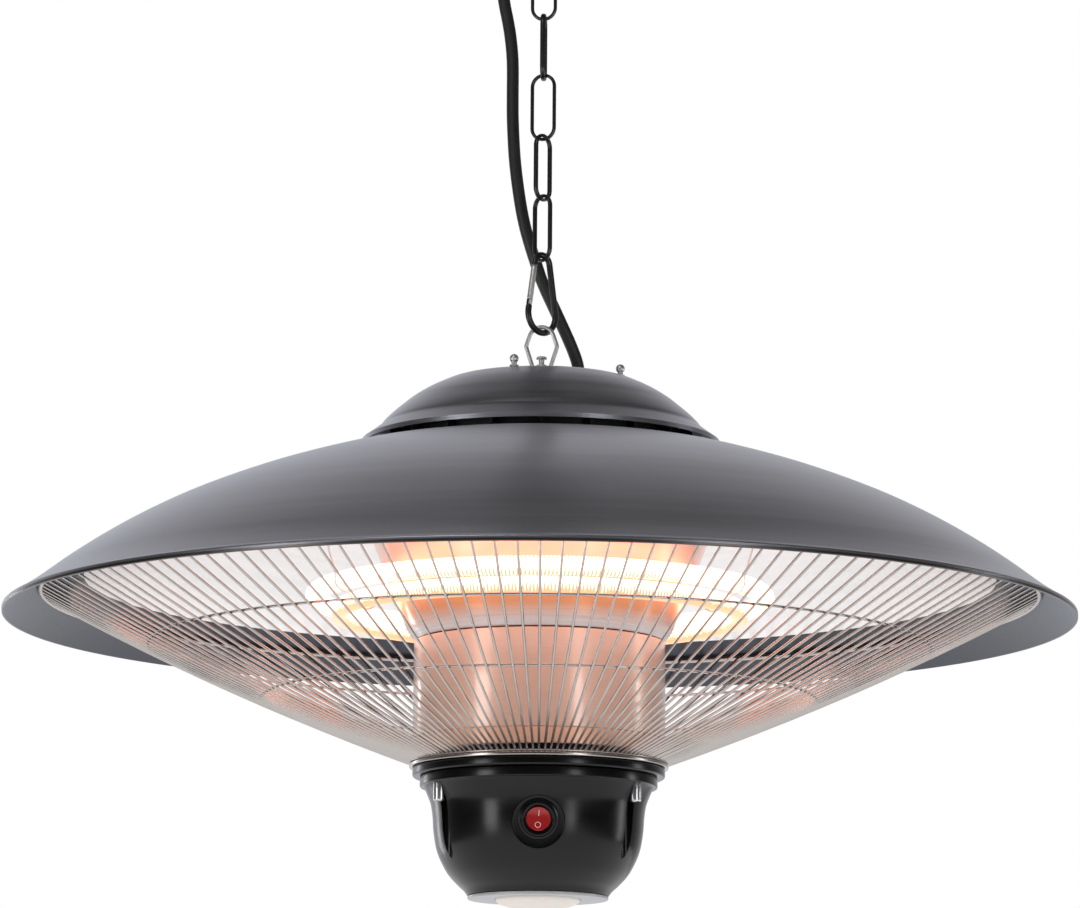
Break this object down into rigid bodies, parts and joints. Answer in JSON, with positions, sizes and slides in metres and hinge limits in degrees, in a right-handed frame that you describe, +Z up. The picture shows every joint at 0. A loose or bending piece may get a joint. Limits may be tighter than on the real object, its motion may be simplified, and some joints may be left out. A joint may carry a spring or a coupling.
{
  "type": "hanging patio heater",
  "caption": "Ceiling-hung electric patio heater: wide spun shade on a chain, ring-shaped heating tubes behind a wire guard, and a lower housing with a switch and lamp.",
  "frame": {"origin": "middle of the ceiling plate's flat top face", "axes": "+Z up against the ceiling, the heater hangs towards -Z; -Y is the side with the switch"},
  "size_m": [0.605, 0.605, 0.6128],
  "materials": {
    "black_steel": "black coated",
    "zinc_steel": "zinc plated",
    "silver_steel": "nickel plated",
    "brushed_grey": "brushed, gunmetal grey",
    "polished": "polished",
    "chromed_wire": "chromed",
    "black_plastic": "matte",
    "black_gloss": "gloss",
    "glowing_tube": "glowing quartz tube",
    "white_ceramic": "unglazed",
    "cord_sheath": "satin",
    "red_plastic": "gloss",
    "light_grey_plastic": "satin",
    "frosted_lens": "frosted",
    "circuit_board": "board"
  },
  "bodies": {
    "ceiling_fixing": {"ceiling_plate": "zinc_steel", "ceiling_canopy": "black_steel", "ceiling_hook": "black_steel", "ceiling_cord_grip": "black_plastic", "power_cord": "cord_sheath"},
    "link_0": {"chain_link_0": "black_steel"},
    "link_1": {"chain_link_1": "black_steel"},
    "link_2": {"chain_link_2": "black_steel"},
    "link_3": {"chain_link_3": "black_steel"},
    "link_4": {"chain_link_4": "black_steel"},
    "snap_hook": {"snap_body": "black_steel", "snap_pin": "zinc_steel"},
    "gate": {"snap_gate": "silver_steel"},
    "bail": {"hanger_bail": "silver_steel"},
    "rocker": {"switch_rocker": "red_plastic"},
    "heater": {"hanger_bolt": "zinc_steel", "cap_stud_1": "zinc_steel", "cap_stud_2": "zinc_steel", "cap_stud_3": "zinc_steel", "cap_stud_4": "zinc_steel", "tie_rod": "zinc_steel", "tube_strap": "zinc_steel", "tube_clip_1": "zinc_steel", "tube_clip_2": "zinc_steel", "main_shade": "brushed_grey", "top_cap": "brushed_grey", "reflector": "polished", "column_cone": "polished", "column_tube": "polished", "column_band": "polished", "guard_grille": "chromed_wire", "guard_rim": "chromed_wire", "guard_ring_1": "chromed_wire", "guard_ring_2": "chromed_wire", "guard_collar": "chromed_wire", "housing_screw_1": "chromed_wire", "housing_screw_2": "chromed_wire", "housing_screw_3": "chromed_wire", "cap_gland": "black_plastic", "vent_ring": "black_plastic", "switch_frame": "black_plastic", "housing_neck": "black_gloss", "housing_flange": "black_gloss", "housing_bowl": "black_gloss", "heating_tube_upper": "glowing_tube", "heating_tube_lower": "glowing_tube", "tube_socket_upper": "white_ceramic", "tube_socket_lower": "white_ceramic", "lens_ring": "light_grey_plastic", "lens_diffuser": "frosted_lens", "led_board": "circuit_board"}
  },
  "joints": [
    {"name": "hook_to_link_0", "type": "hinge", "parent": "ceiling_fixing", "child": "link_0", "pos_m": [0, 0, -0.0662], "axis": [0.2079, 0.9781, 0], "range_deg": [-25, 25], "deforming": ["power_cord"]},
    {"name": "link_0_to_1", "type": "hinge", "parent": "link_0", "child": "link_1", "pos_m": [0, 0, -0.1001], "axis": [0.9781, -0.2079, 0], "range_deg": [-25, 25], "deforming": ["power_cord"]},
    {"name": "link_1_to_2", "type": "hinge", "parent": "link_1", "child": "link_2", "pos_m": [0, 0, -0.1355], "axis": [0.0872, 0.9962, 0], "range_deg": [-25, 25], "deforming": ["power_cord"]},
    {"name": "link_2_to_3", "type": "hinge", "parent": "link_2", "child": "link_3", "pos_m": [0, 0, -0.1709], "axis": [0.9397, -0.342, 0], "range_deg": [-25, 25], "deforming": ["power_cord"]},
    {"name": "link_3_to_4", "type": "hinge", "parent": "link_3", "child": "link_4", "pos_m": [0, 0, -0.2063], "axis": [0.5878, 0.809, 0], "range_deg": [-25, 25], "deforming": ["power_cord"]},
    {"name": "link_4_to_snap_hook", "type": "hinge", "parent": "link_4", "child": "snap_hook", "pos_m": [0, 0, -0.2417], "axis": [0.6428, -0.766, 0], "range_deg": [-25, 25], "deforming": ["power_cord"]},
    {"name": "snap_hook_to_bail", "type": "hinge", "parent": "snap_hook", "child": "bail", "pos_m": [0, 0, -0.2838], "axis": [0.7071, 0.7071, 0], "range_deg": [-25, 25], "deforming": ["power_cord"]},
    {"name": "bail_to_heater", "type": "hinge", "parent": "bail", "child": "heater", "pos_m": [0, 0, -0.3048], "axis": [1, 0, 0], "range_deg": [-25, 25], "deforming": ["power_cord"]},
    {"name": "gate_pivot", "type": "hinge", "parent": "snap_hook", "child": "gate", "pos_m": [-0.0071, -0.0071, -0.26707], "axis": [-0.7071, 0.7071, 0], "range_deg": [0, 24], "stiffness_Nm_per_rad": 0.05, "springref_deg": -20.05},
    {"name": "rocker_pivot", "type": "hinge", "parent": "heater", "child": "rocker", "pos_m": [0, -0.05599, -0.56713], "axis": [1, 0, 0], "range_deg": [0, 14]}
  ]
}
